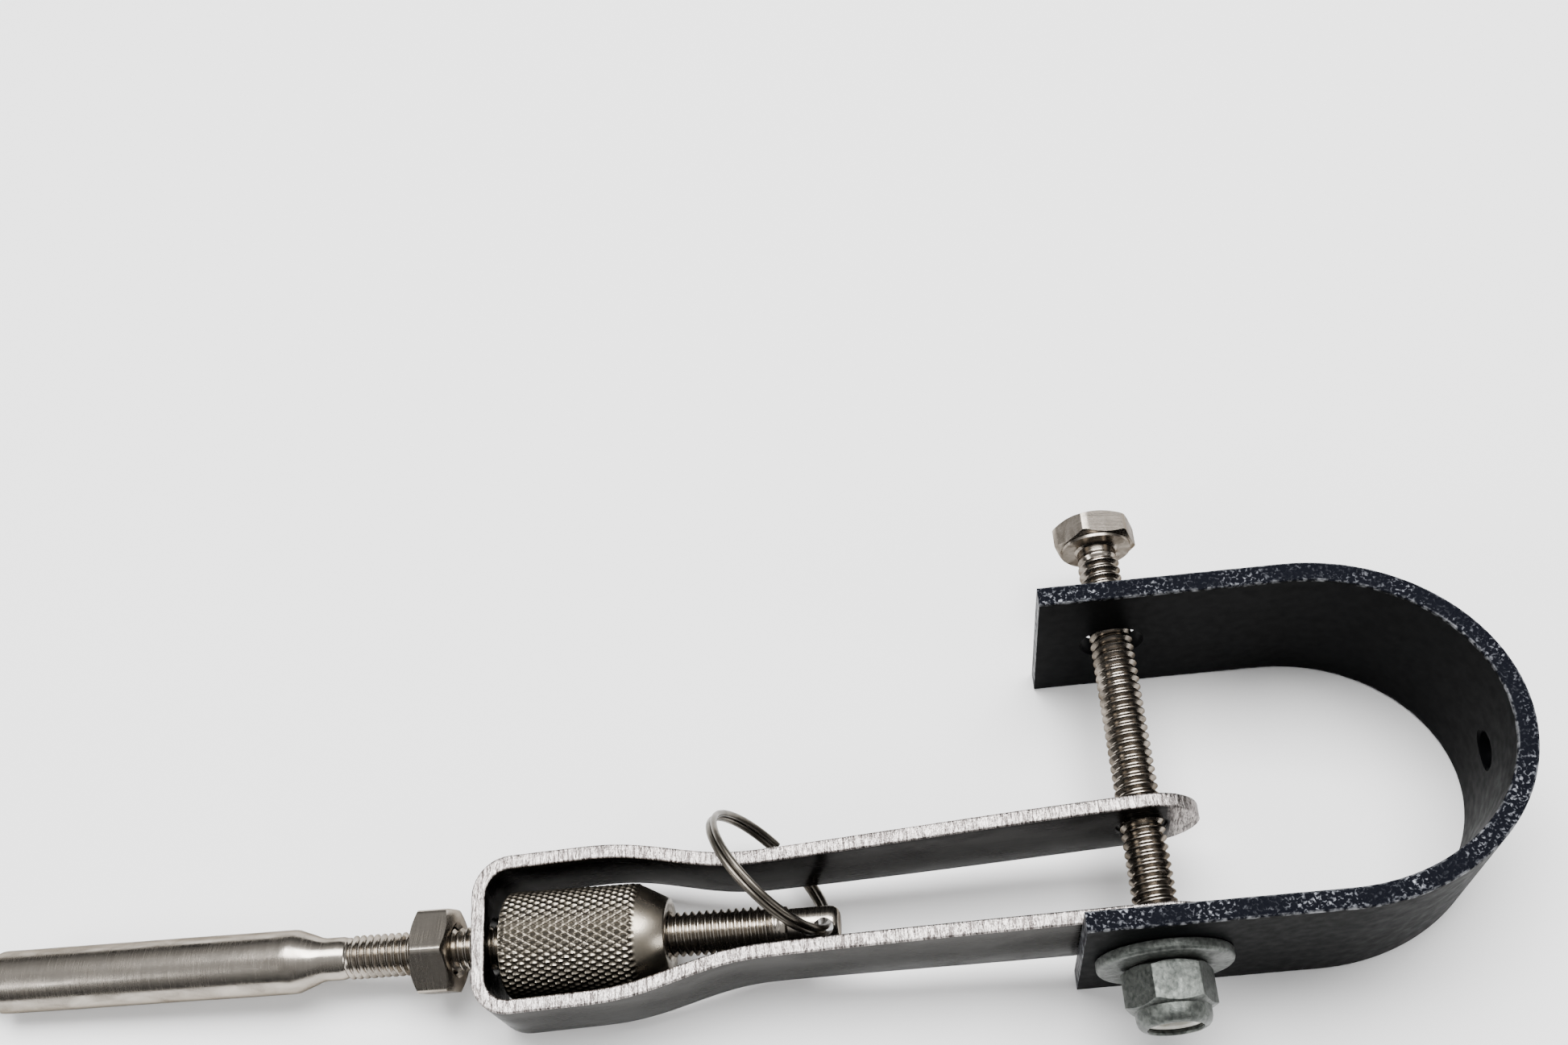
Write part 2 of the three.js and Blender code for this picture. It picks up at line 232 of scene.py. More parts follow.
# %% [markdown]
# ## Helpers for strips and wires
# A bent strip or a wound wire is one outline carried along a line. A curve with a bevel could make
# it, but a loft through sections of our own lets the outline change on the way, and it keeps the
# corners exactly where the finish looks for them.


# %% Rounded sections
def arc(centre, radius, start, end, steps):
    """Points of an arc between two angles in degrees."""
    points = []
    for i in range(steps + 1):
        turn = math.radians(start + (end - start) * i / steps)
        points.append((centre[0] + radius * math.cos(turn), centre[1] + radius * math.sin(turn)))
    return points


def rounded_section(width, height, radius, steps=4, inset=0.0):
    """A rounded rectangle's outline about its middle, anticlockwise.

    An inset adds points that far in from the corners on the long sides.
    """
    w = width / 2 - radius
    h = height / 2 - radius
    left = [(-width / 2, h - inset), (-width / 2, inset - h)] if inset else []
    right = [(width / 2, inset - h), (width / 2, h - inset)] if inset else []
    return (arc((w, h), radius, 0, 90, steps) + arc((-w, h), radius, 90, 180, steps) + left
            + arc((-w, -h), radius, 180, 270, steps) + arc((w, -h), radius, 270, 360, steps)
            + right)


def smooth_step(x, start, end):
    t = min(max((x - start) / (end - start), 0), 1)
    return t * t * (3 - 2 * t)


def smoother_step(x, start, end):
    t = min(max((x - start) / (end - start), 0), 1)
    return t ** 3 * (t * (t * 6 - 15) + 10)


def loft(name, sections, joined=False):
    """A skin over sections with the same number of points, closed by its first and last."""
    n = len(sections[0])
    vertices = [point for section in sections for point in section]
    faces = []
    rows = len(sections)
    for i in range(rows if joined else rows - 1):
        for j in range(n):
            k = (j + 1) % n
            low, high = i * n, ((i + 1) % rows) * n
            faces.append((low + j, low + k, high + k, high + j))
    if not joined:
        faces.append(tuple(range(n)))
        faces.append(tuple((rows - 1) * n + j for j in range(n)))
    return mesh_object(name, vertices, faces)


print("points in a rounded section:", len(rounded_section(STRAP, 12, 0.3)))

# %% [markdown]
# ## Helpers for metal
# Worked steel is never one grey. Each finish below is a Principled shader whose colour, roughness
# and bump come from noise laid out in the piece's own millimetres, so a scratch keeps its size and
# goes with the piece when a joint moves. Painted images could do this too, but noise needs no file
# and stays sharp close by. The stretch of the noise gives the direction in which the tool or the
# rolls ran: around a turned bar, along a strip, down a sheared edge.

# %% A small set of shader helpers
class Finish:
    """A node material that reads its place from the piece's local attribute."""

    def __init__(self, name, metallic=0.0):
        self.material = bpy.data.materials.new(name)
        self.material.use_nodes = True
        self.tree = self.material.node_tree
        self.shader = self.tree.nodes["Principled BSDF"]
        self.shader.inputs["Metallic"].default_value = metallic
        place = self.tree.nodes.new("ShaderNodeAttribute")
        place.attribute_name = "local"
        self.place = place.outputs["Vector"]
        self.height = None

    def link(self, source, target):
        self.tree.links.new(source, target)

    def noise(self, stretch, detail=3.0, distortion=0.0):
        """Noise with so many cells to a millimetre along each local axis."""
        mapping = self.tree.nodes.new("ShaderNodeMapping")
        mapping.inputs["Scale"].default_value = stretch
        self.link(self.place, mapping.inputs["Vector"])
        texture = self.tree.nodes.new("ShaderNodeTexNoise")
        texture.inputs["Scale"].default_value = 1
        texture.inputs["Detail"].default_value = detail
        texture.inputs["Distortion"].default_value = distortion
        self.link(mapping.outputs["Vector"], texture.inputs["Vector"])
        return texture.outputs["Fac"]

    def spread(self, source, low, high, start=0.3, end=0.7):
        """Carries a value from the span start to end over to the span low to high."""
        node = self.tree.nodes.new("ShaderNodeMapRange")
        node.inputs["From Min"].default_value = start
        node.inputs["From Max"].default_value = end
        node.inputs["To Min"].default_value = low
        node.inputs["To Max"].default_value = high
        self.link(source, node.inputs["Value"])
        return node.outputs["Result"]

    def mix(self, factor, first, second):
        """A colour between two colours, each a triple or a socket."""
        node = self.tree.nodes.new("ShaderNodeMix")
        node.data_type = "RGBA"
        self.link(factor, node.inputs["Factor"])
        for value, socket in ((first, node.inputs["A"]), (second, node.inputs["B"])):
            if isinstance(value, tuple):
                socket.default_value = (*value, 1)
            else:
                self.link(value, socket)
        return node.outputs["Result"]

    def combine(self, operation, first, second):
        node = self.tree.nodes.new("ShaderNodeMath")
        node.operation = operation
        for value, socket in ((first, node.inputs[0]), (second, node.inputs[1])):
            if isinstance(value, (int, float)):
                socket.default_value = value
            else:
                self.link(value, socket)
        return node.outputs[0]

    def attribute(self, name):
        node = self.tree.nodes.new("ShaderNodeAttribute")
        node.attribute_name = name
        return node.outputs["Fac"]

    def colour(self, socket):
        self.link(socket, self.shader.inputs["Base Color"])

    def roughness(self, socket):
        self.link(socket, self.shader.inputs["Roughness"])

    def bump(self, source, depth):
        """Adds relief of so many millimetres to the surface."""
        node = self.tree.nodes.new("ShaderNodeBump")
        node.inputs["Strength"].default_value = 1
        node.inputs["Distance"].default_value = depth * MM
        self.link(source, node.inputs["Height"])
        if self.height is not None:
            self.link(self.height, node.inputs["Normal"])
        self.height = node.outputs["Normal"]
        self.link(self.height, self.shader.inputs["Normal"])


print("what a finish can do:", [word for word in vars(Finish) if not word.startswith("_")])

# %% [markdown]
# ## Bright turned steel
# The bolt, the stud and the jam nut are turned from stainless bar. The tool leaves fine rings
# around the axis, handling leaves faint smears, and the alloy looks slightly warm beside the white
# floor. An anisotropic gloss could stand for the rings, but noise squeezed along the axis also
# breaks up the highlight, as real tool marks do.

# %% Turned stainless
def turned_steel(name, tint, dark, rough):
    finish = Finish(name, 1.0)
    # On a metal, Specular Tint is the colour of its grazing reflections. A dark one keeps the
    # sides of the bars from washing out.
    finish.shader.inputs["Specular Tint"].default_value = (0.36, 0.34, 0.32, 1)
    rings = finish.noise((9, 0.25, 0.25), 2)
    smears = finish.noise((0.22, 0.5, 0.5), 4, 0.6)
    finish.colour(finish.mix(finish.spread(smears, 0, 1), dark, tint))
    gloss = finish.combine("ADD", finish.spread(rings, -0.05, 0.05),
                           finish.spread(smears, rough + 0.07, rough - 0.05))
    finish.roughness(gloss)
    finish.bump(rings, 0.004)
    finish.bump(finish.noise((2.4, 2.4, 2.4), 3), 0.006)
    return finish.material


bright_steel = turned_steel("bright_turned_steel", (0.40, 0.365, 0.32), (0.22, 0.198, 0.17), 0.22)
thread_steel = turned_steel("rolled_thread_steel", (0.34, 0.305, 0.265), (0.12, 0.105, 0.088), 0.24)
print("finishes so far:", len(bpy.data.materials))

# %% [markdown]
# ## The clevis bolt
# A hex bolt, threaded nearly up to its head. The thread is the visible surface here, so it is
# real geometry and not a bump. A Screw modifier leaves ragged ends that have to be trimmed. Here the
# rows of the mesh follow the helix, six rows to each turn of the thread, and the last turns fade
# out into a plain chamfered end.

# %% A helical thread as a band of mesh
SIDES = 72  # around every turned bar
# One turn of thread, from crest to root and back: parts of the pitch, and of the depth.
THREAD_FORM = [(0.0, 0.0), (0.12, 0.0), (0.3, 0.5), (0.5, 1.0), (0.62, 1.0), (0.82, 0.5)]


def thread_band(start, end, crest, depth, pitch, fade_in, fade_out):
    """A tube between two stations whose rows climb along a right-hand helix."""
    rows_per_turn = len(THREAD_FORM)
    turns = math.ceil((end - start) / pitch) + 2
    vertices = []
    faces = []
    rows = turns * rows_per_turn
    for i in range(rows):
        phase, drop = THREAD_FORM[i % rows_per_turn]
        for j in range(SIDES):
            turn = 2 * math.pi * j / SIDES
            free = start + (i // rows_per_turn - 1 + phase + j / SIDES) * pitch
            x = min(max(free, start), end)
            cut_in = smooth_step(x, start, start + fade_in)
            shown = cut_in * (1 - smooth_step(x, end - fade_out, end))
            r = crest - depth * (drop * shown + 0.5 * (1 - shown))
            vertices.append((x, r * math.cos(turn), r * math.sin(turn)))
    for i in range(rows - rows_per_turn):
        for j in range(SIDES):
            a = i * SIDES + j
            last = j == SIDES - 1
            b = (i + rows_per_turn) * SIDES if last else a + 1
            c = b + SIDES
            if c < len(vertices):
                faces.append((a, b, c, a + SIDES))
    return vertices, faces


def joined_mesh(name, parts):
    """One welded mesh from several lists of vertices and faces."""
    vertices = []
    faces = []
    for part_vertices, part_faces in parts:
        base = len(vertices)
        vertices += part_vertices
        faces += [tuple(index + base for index in face) for face in part_faces]
    return mesh_object(name, vertices, faces)


print("rows of mesh to a turn of thread:", len(THREAD_FORM))


# %% Hexagons as rings
def hexagon(across_flats, turned_by=0.0, corner=0.985):
    """The reach of a hexagon around its axis, with its corners just broken."""
    flat = across_flats / 2

    def reach(turn):
        away = (turn - math.radians(turned_by) + math.pi / 6) % (math.pi / 3) - math.pi / 6
        return min(flat / math.cos(away), flat / math.cos(math.pi / 6) * corner)

    return reach


def hex_end(x, inward, across_flats, turned_by=0.0, face=0.95):
    """The two rings of a hexagon's chamfered end; inward is +1 or -1, towards its body."""
    reach = hexagon(across_flats, turned_by)
    circle = across_flats / 2 * face
    slope = math.tan(math.radians(30))
    return [[x, lambda turn: min(reach(turn), circle)],
            [lambda turn: x + inward * max(reach(turn) - circle, 0) * slope, reach]]


HEX = 11.1  # 7/16 inch across flats
print("a head's corners are", round(2 * hexagon(HEX)(math.pi / 6), 2), "mm apart")

# %% The bolt
BOLT_RADIUS = 3.1
BOLT_PITCH = 1.27
THREAD_DEPTH = 0.52
bolt_low, bolt_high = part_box("clevis_bolt")
BOLT_TIP = (bolt_low.y - BOLT_AT.y) / MM
HEAD_TOP = (bolt_high.y - BOLT_AT.y) / MM
HEAD_HEIGHT = 4.3
HEAD_HEX_TURN = 12  # degrees of the head on its own thread
BOLT_TURN = math.radians(30)  # the whole bolt about its axis
PLAIN_NECK = 1.1  # mm under the head without thread


def clevis_bolt():
    under = HEAD_TOP - HEAD_HEIGHT
    seat = under - PLAIN_NECK
    mean = BOLT_RADIUS - THREAD_DEPTH / 2
    thread = thread_band(BOLT_TIP + 0.5, seat, BOLT_RADIUS, THREAD_DEPTH, BOLT_PITCH, 1.0, 1.4)
    tip = [[BOLT_TIP, 0], [BOLT_TIP, mean - 0.45], [BOLT_TIP + 0.5, mean]]
    neck = [[seat, mean], [under - 0.3, mean + 0.05], [under, mean + 0.4],
            [under, HEX / 2 - 0.35], [under + 0.4, HEX / 2 - 0.3]]
    top = [[HEAD_TOP, 4.4], [HEAD_TOP - 0.16, 4.15], [HEAD_TOP - 0.16, 0]]
    head = (neck + hex_end(under + 0.4, 1, HEX, HEAD_HEX_TURN)
            + hex_end(HEAD_TOP, -1, HEX, HEAD_HEX_TURN, 0.93)[::-1] + top)
    parts = [thread, ring_stack(tip, SIDES), ring_stack(head, SIDES)]
    piece = joined_mesh("bolt_with_thread", parts)
    piece.data.transform(Matrix.Rotation(BOLT_TURN, 4, "X"))
    return finish_piece(piece, BOLT_FRAME, "bolt", "clevis_bolt", thread_steel)


clevis_bolt()

# %% [markdown]
# ## The washer, the lock nut and its nylon ring
# These are galvanised: dull, slightly green-grey and grainy. The washer is stamped, so one edge is
# rolled and the other is sharp. The nut's crown is rolled in over the nylon ring that grips the
# thread, which makes the dome at its end. Each could be a cylinder with its bore cut out. A closed
# profile turned about the bolt's axis gives the bore, the rim and every rounding in one go. One
# grey would do for the zinc from far away, but its grains differ in shine, so a fine noise drives
# the colour and a coarse one the roughness.

# %% Galvanised finish
def galvanised():
    finish = Finish("dull_galvanising", 0.85)
    grain = finish.noise((1.6, 1.6, 1.6), 5, 0.4)
    spangle = finish.noise((0.5, 0.5, 0.5), 2, 0.8)
    dull, light = (0.035, 0.039, 0.036), (0.11, 0.118, 0.108)
    finish.colour(finish.mix(finish.spread(grain, 0, 1), dull, light))
    finish.roughness(finish.spread(spangle, 0.36, 0.56))
    finish.bump(finish.noise((5, 5, 5), 4), 0.02)
    finish.bump(grain, 0.03)
    return finish.material


def nylon():
    finish = Finish("natural_nylon")
    cloud = finish.noise((0.8, 0.8, 0.8), 3)
    finish.colour(finish.mix(finish.spread(cloud, 0, 1), (0.66, 0.64, 0.56), (0.80, 0.79, 0.74)))
    finish.roughness(finish.spread(cloud, 0.36, 0.52))
    finish.bump(finish.noise((3, 3, 3), 2), 0.01)
    return finish.material


zinc = galvanised()
nylon_ring = nylon()
print("made", zinc.name, "and", nylon_ring.name)

# %% The washer and the nut
washer_low, washer_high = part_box("nut_washer")
nut_low, nut_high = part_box("lock_nut")
NUT_HEX_TURN = 8  # degrees of the flats on the crown
NUT_TURN = math.radians(28)  # the whole nut about the bolt


def nut_washer():
    back = (washer_low.y - BOLT_AT.y) / MM
    face = (washer_high.y - BOLT_AT.y) / MM
    rim = (washer_high.z - washer_low.z) / MM / 2
    bore = 3.6
    rings = [[face, bore + 0.1], [face, rim - 0.12], [face - 0.12, rim], [back + 0.55, rim],
             [back + 0.25, rim - 0.1], [back + 0.07, rim - 0.3], [back, rim - 0.6],
             [back, bore + 0.45], [back + 0.12, bore + 0.18], [back + 0.4, bore],
             [face - 0.1, bore]]
    piece = turned("stamped_washer", rings, 96, True)
    return finish_piece(piece, BOLT_FRAME, "washer", "nut_washer", zinc)


def lock_nut():
    end = (nut_low.y - BOLT_AT.y) / MM
    face = (nut_high.y - BOLT_AT.y) / MM
    bore = 3.3
    shoulder = face - 5.6
    crown = [[shoulder, 5.12], [shoulder - 0.4, 5.1], [end + 1.2, 5.05], [end + 0.6, 4.85],
             [end + 0.22, 4.5], [end + 0.03, 4.1], [end, 3.95], [end + 0.05, 3.8],
             [end + 0.3, 3.72], [end + 0.7, 3.85], [end + 0.78, 4.35], [end + 3.2, 4.35],
             [end + 3.3, bore + 0.3], [end + 3.6, bore], [face - 0.4, bore], [face, bore + 0.5]]
    flats = (hex_end(face, -1, HEX, NUT_HEX_TURN)
             + hex_end(shoulder, 1, HEX, NUT_HEX_TURN, 0.93)[::-1])
    piece = turned("nut_with_crown", flats + crown, 96, True)
    piece.data.transform(Matrix.Rotation(NUT_TURN, 4, "X"))
    return finish_piece(piece, BOLT_FRAME, "lock_nut", "lock_nut", zinc)


def nylon_insert():
    low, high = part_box("nylon_insert")
    start = (low.y - BOLT_AT.y) / MM
    end = (high.y - BOLT_AT.y) / MM
    rings = [[start, 3.45], [start, 3.8], [start + 0.2, 4.0], [end, 4.0], [end, 3.35],
             [start + 0.3, 3.2]]
    piece = turned("nylon_grip_ring", rings, 96, True)
    return finish_piece(piece, BOLT_FRAME, "lock_nut", "nylon_insert", nylon_ring)


nut_washer()
lock_nut()
nylon_insert()

# %% [markdown]
# ## The bracket
# Steel strip bent to a U and coated black. Its wide faces are smooth and satin, but its long edges
# were sheared: the coating there lies over a torn, speckled surface that glitters, with a thin
# bright line at each corner. A bent box with a Bevel could make it, but a loft with a rounded
# section keeps the corners even all round the bend, and only the three holes are cut. Attributes
# mark the sheared edges and their corners, so that one material can switch between the faces, the
# glitter and the bright line. Two materials would meet in a hard seam.

# %% Black coating
def black_coating():
    finish = Finish("black_coating")
    sheared = finish.attribute("sheared")
    corner = finish.attribute("corner")
    torn = finish.noise((2.0, 2.0, 1.2), 8, 0.6)
    patches = finish.spread(finish.noise((0.16, 0.16, 0.16), 3), 0.1, 1, 0.42, 0.62)
    flecks = finish.combine("MULTIPLY", finish.spread(torn, 0, 1, 0.54, 0.74), patches)
    edge = finish.mix(flecks, (0.004, 0.0045, 0.007), (0.26, 0.27, 0.30))
    rubbed = finish.spread(finish.noise((0.9, 0.9, 0.9), 6), 0, 1, 0.46, 0.72)
    line = finish.combine("MULTIPLY", corner, rubbed)
    cloud = finish.noise((0.12, 0.12, 0.12), 3)
    face = finish.mix(finish.spread(cloud, 0, 1), (0.001, 0.0011, 0.0012), (0.0022, 0.0024, 0.0028))
    body = finish.mix(sheared, face, edge)
    finish.colour(finish.mix(line, body, (0.22, 0.225, 0.24)))
    bright = finish.combine("MAXIMUM", finish.combine("MULTIPLY", sheared, flecks), line)
    finish.link(finish.combine("MULTIPLY", bright, 0.9), finish.shader.inputs["Metallic"])
    # Almost no mirror gloss, or the wide faces reflect the pale floor and turn grey.
    finish.shader.inputs["Specular IOR Level"].default_value = 0.01
    finish.roughness(finish.spread(finish.noise((0.6, 0.6, 0.6), 3), 0.36, 0.48))
    finish.bump(finish.noise((4.5, 4.5, 4.5), 2), 0.005)
    finish.bump(finish.combine("MULTIPLY", sheared, torn), 0.22)
    return finish.material


coating = black_coating()
print("made", coating.name)

# %% The bent strip with its holes
BRACKET_HEIGHT = (bracket_high.z - bracket_low.z) / MM
BRACKET_HALF = (bracket_high.y - bracket_low.y) / MM / 2
LEG_END = (bracket_low.x - BOLT_AT.x) / MM
BEND_START = 23.2  # mm past the bolt's axis
BEND_CROWN = (bracket_high.x - BOLT_AT.x) / MM
LEG_STEPS = 30
BEND_STEPS = 72
LEG_HOLE = 4.5  # radius
FIXING_HOLE = 2.6  # radius
SHEAR_RADIUS = 0.32  # of the strip's corners


def bracket_line():
    """Points and outward sides of the strip's middle, from the far leg's end to the near one's."""
    half = BRACKET_HALF - BRACKET_STRIP / 2
    depth = BEND_CROWN - BEND_START - BRACKET_STRIP / 2
    line = []
    for i in range(LEG_STEPS):
        x = LEG_END + (BEND_START - LEG_END) * i / LEG_STEPS
        line.append((Vector((x, half)), Vector((0, 1))))
    for i in range(BEND_STEPS + 1):
        turn = math.pi * i / BEND_STEPS
        side = Vector((half * math.sin(turn), depth * math.cos(turn))).normalized()
        point = Vector((BEND_START + depth * math.sin(turn), half * math.cos(turn)))
        line.append((point, side))
    for i in range(1, LEG_STEPS + 1):
        x = BEND_START + (LEG_END - BEND_START) * i / LEG_STEPS
        line.append((Vector((x, -half)), Vector((0, -1))))
    return line


def bracket():
    outline = rounded_section(BRACKET_STRIP, BRACKET_HEIGHT, SHEAR_RADIUS, 3, 0.3)
    middle = BRACKET_HEIGHT / 2
    sections = []
    for point, side in bracket_line():
        sections.append([(point.x + side.x * out, point.y + side.y * out, middle + up)
                         for out, up in outline])
    piece = loft("bent_bracket", sections)
    for y in (BRACKET_HALF, -BRACKET_HALF):
        near = y - math.copysign(BRACKET_STRIP, y)
        across = Matrix.Translation((0, 0, middle)) @ Matrix.Rotation(math.pi / 2, 4, "Z")
        boolean(piece, drill("leg_hole", near, y, LEG_HOLE, across, 0.2))
    crown = Matrix.Translation((0, 0, middle))
    inside = BEND_CROWN - BRACKET_STRIP
    boolean(piece, drill("fixing_hole", inside, BEND_CROWN, FIXING_HOLE, crown, 0.15))
    mark_sheared(piece)
    return finish_piece(piece, GROUND_FRAME, "bracket", "bracket", coating)


def mark_sheared(piece):
    """Marks the strip's long sheared edges and, more narrowly, their corners."""
    mesh = piece.data
    sheared = mesh.attributes.new("sheared", "FLOAT", "POINT")
    corner = mesh.attributes.new("corner", "FLOAT", "POINT")
    middle = BRACKET_HEIGHT / 2
    for vertex in mesh.vertices:
        away = abs(vertex.co.z - middle)
        sheared.data[vertex.index].value = 1.0 if away > middle - 0.2 else 0.0
        corner.data[vertex.index].value = 1.0 if middle - 0.45 < away < middle - 0.02 else 0.0


bracket()

# %% [markdown]
# ## The fork
# One strap of stainless steel bent twice at the end wall, stepped in where it has cleared the
# knurled nut, and left wide and round at the bolt. Its faces keep the soft gloss of cold rolling
# and its edges show the fine upright lines of the shear. The strap is lofted along its bent middle
# line, with a section that grows and then rounds off, and the holes are drilled after. A Solidify
# on a bent plane would be shorter, but it leaves no rounded edge to carry the shear's lines. The
# finish is one material again: attributes choose between the outside, the darker inside and the
# sheared edge. Both faces are painted dark to stand in for dark reflections, and the inside is
# painted darker still as shade between the arms.

# %% Strap finish
def strap_steel():
    finish = Finish("cold_rolled_strap", 1.0)
    sheared = finish.attribute("sheared")
    rolled = finish.noise((0.25, 0.25, 3.0), 4, 0.2)
    smears = finish.noise((0.09, 0.09, 0.16), 3, 0.5)
    # Painted reflection and shade: both faces are far darker than bare stainless to stand in for
    # dark reflections, and the inside of the fork is darker still as painted shade between the arms.
    inner = finish.mix(finish.spread(smears, 0, 1), (0.03, 0.0295, 0.029), (0.05, 0.049, 0.048))
    painted_reflection_outer = finish.mix(finish.spread(smears, 0, 1), (0.06, 0.059, 0.057), (0.10, 0.098, 0.095))
    face = finish.mix(finish.attribute("inner"), painted_reflection_outer, inner)
    lines = finish.noise((3.0, 0.5, 0.35), 6, 0.8)
    pits = finish.noise((5.5, 3.0, 1.5), 4)
    torn = finish.combine("ADD", finish.combine("MULTIPLY", lines, 0.65),
                          finish.combine("MULTIPLY", pits, 0.35))
    # Dark grazing reflections, because the wide faces are seen at a slant.
    finish.shader.inputs["Specular Tint"].default_value = (0.45, 0.45, 0.45, 1)
    low, high = (0.12, 0.105, 0.10), (0.72, 0.665, 0.635)
    edge = finish.mix(finish.spread(torn, 0, 1, 0.43, 0.58), low, high)
    finish.colour(finish.mix(sheared, face, edge))
    on_face = finish.combine("ADD", finish.spread(rolled, -0.04, 0.04),
                             finish.spread(smears, 0.30, 0.20))
    on_edge = finish.spread(torn, 0.24, 0.46)
    finish.roughness(finish.mix(sheared, on_face, on_edge))
    finish.bump(rolled, 0.003)
    finish.bump(finish.combine("MULTIPLY", sheared, torn), 0.3)
    return finish.material


strap = strap_steel()
print("made", strap.name)

# %% The bent strap
HALF_AT_NUT = 10.3  # fork's centre line to the middle of an arm, beside the knurled nut
HALF_AT_WAIST = 6.6  # the same past the nut
BEND_RADIUS = 4.6  # of the strap's middle at the end wall
JOGGLE = (-80.0, -52.0)  # where the arms step in, in mm from the bolt
TAPER = (-78.0, -10.0)  # where the strap widens
HALF_NARROW = 6.3  # half the strap's width at the wall
HALF_WIDE = 8.0  # and at the bolt
ARM_HOLE = 3.6  # radius
STUD_HOLE = 4.1  # radius
STRAP_CORNER = 0.3  # radius
TIP_HALF = 0.45  # half the height that is left at the very tip of an arm


def arm_offset(x):
    """Distance of an arm's middle from the fork's centre line."""
    step = smoother_step(x, *JOGGLE)
    splay = smooth_step(x, JOGGLE[1] - 8, 10)
    return (HALF_AT_NUT + (HALF_AT_WAIST - HALF_AT_NUT) * step
            + (HALF_AT_BOLT - HALF_AT_WAIST) * splay)


def half_height(x):
    """Half the strap's width at a station, round beyond the bolt."""
    if x > 0:
        return math.sqrt(max(HALF_WIDE ** 2 - x * x, 0))
    return HALF_NARROW + (HALF_WIDE - HALF_NARROW) * smooth_step(x, *TAPER)


def fork_line():
    """Stations along the strap's middle, from the far arm's tip round to the near arm's."""
    wall = -FORK_LENGTH + STRAP / 2
    stations = [HALF_WIDE * math.sin(math.radians(a)) for a in (90, 86, 80, 72, 62, 50, 37, 24, 12)]
    x = 0.0
    while x > wall + BEND_RADIUS + 0.4:
        stations.append(x)
        x -= 1.2
    far = [Vector((x, arm_offset(x))) for x in stations]
    corner = arc((wall + BEND_RADIUS, HALF_AT_NUT - BEND_RADIUS), BEND_RADIUS, 90, 180, 10)
    far += [Vector(point) for point in corner]
    far += [Vector((wall, y)) for y in (5.0, 3.0, 1.0)]
    return far + [Vector((p.x, -p.y)) for p in reversed(far)]


def fork():
    line = fork_line()
    sections = []
    for i, point in enumerate(line):
        before = line[max(i - 1, 0)]
        after = line[min(i + 1, len(line) - 1)]
        along = (after - before).normalized()
        side = Vector((-along.y, along.x))
        height = max(half_height(point.x), TIP_HALF)
        outline = rounded_section(STRAP, 2 * height, STRAP_CORNER, 3)
        sections.append([(point.x + side.x * out, point.y + side.y * out, up)
                         for out, up in outline])
    piece = loft("bent_fork", sections)
    across = Matrix.Rotation(math.pi / 2, 4, "Z")
    for side in (1, -1):
        middle = side * HALF_AT_BOLT
        boolean(piece, drill("bolt_hole", middle - 1, middle + 1, ARM_HOLE, across, 0.15))
    wall = -FORK_LENGTH
    boolean(piece, drill("stud_hole", wall, wall + STRAP, STUD_HOLE, Matrix.Identity(4), 0.2))
    mark_strap(piece)
    return finish_piece(piece, FORK_FRAME, "fork", "fork", strap)


def mark_strap(piece):
    """Marks the strap's sheared edges and the inside faces of the fork, which get painted shade."""
    mesh = piece.data
    sheared = mesh.attributes.new("sheared", "FLOAT", "POINT")
    inner = mesh.attributes.new("inner", "FLOAT", "POINT")
    for vertex in mesh.vertices:
        x, y, z = vertex.co
        along_arm = abs(y) < arm_offset(min(max(x, STRAP - FORK_LENGTH), 0)) - 0.2
        inner.data[vertex.index].value = 1.0 if along_arm and x > 1.2 - FORK_LENGTH else 0.0
        rim = math.hypot(max(x, 0), z)
        edge = half_height(min(x, 0)) - 0.26
        sheared.data[vertex.index].value = 1.0 if rim > edge else 0.0


fork()

# %% [markdown]
# ## The knurled nut
# The knurl is pressed in by two wheels that roll crossing grooves, which leaves rows of small
# diamonds. Each point's height is the lower of two saw-tooth waves, one for each wheel, and the
# mesh is laid out so that its rows fall exactly on the grooves and the crests. A bump would leave
# the nut's outline smooth, and the diamonds show there. The same height is kept as an attribute,
# which darkens the grooves: partly the oil that gathers there and partly painted shade. Past the
# knurl the nut tapers to a plain cone.

# %% Knurled finish
def knurled_steel():
    finish = Finish("knurled_steel", 1.0)
    smears = finish.noise((0.3, 0.3, 0.3), 3, 0.4)
    low = finish.attribute("groove")
    crest = finish.mix(finish.spread(smears, 0, 1), (0.22, 0.195, 0.155), (0.32, 0.285, 0.235))
    # Painted shade and oil: the deeper a point lies in a groove, the nearer its colour goes to
    # black.
    finish.colour(finish.mix(low, crest, (0.022, 0.018, 0.014)))
    finish.roughness(finish.spread(smears, 0.34, 0.24))
    finish.bump(finish.noise((7, 7, 7), 2), 0.01)
    return finish.material


knurled = knurled_steel()
print("made", knurled.name)

# %% The knurl
GROOVES = 46  # around the nut
PER_GROOVE = 6  # steps of mesh
KNURL_LEAD = 1.85  # mm along the nut between one wheel's grooves
KNURL_DEPTH = 0.36
NUT_RADIUS = 7.6
NUT_START = 3.2  # mm along the stud's axis, just inside the end wall
KNURL_LENGTH = 19.6
CONE_LENGTH = 3.7
HARD_EDGE = math.radians(50)  # keeps the diamonds' own edges soft


def saw(value):
    """0 in a groove and 1 on a crest, with the crest a little flat."""
    part = value % 1
    return min(1.25 * (1 - abs(2 * part - 1)), 1)


def knurl_height(x, turn):
    around = GROOVES * turn / (2 * math.pi)
    along = x / KNURL_LEAD
    return min(saw(around + along), saw(around - along))


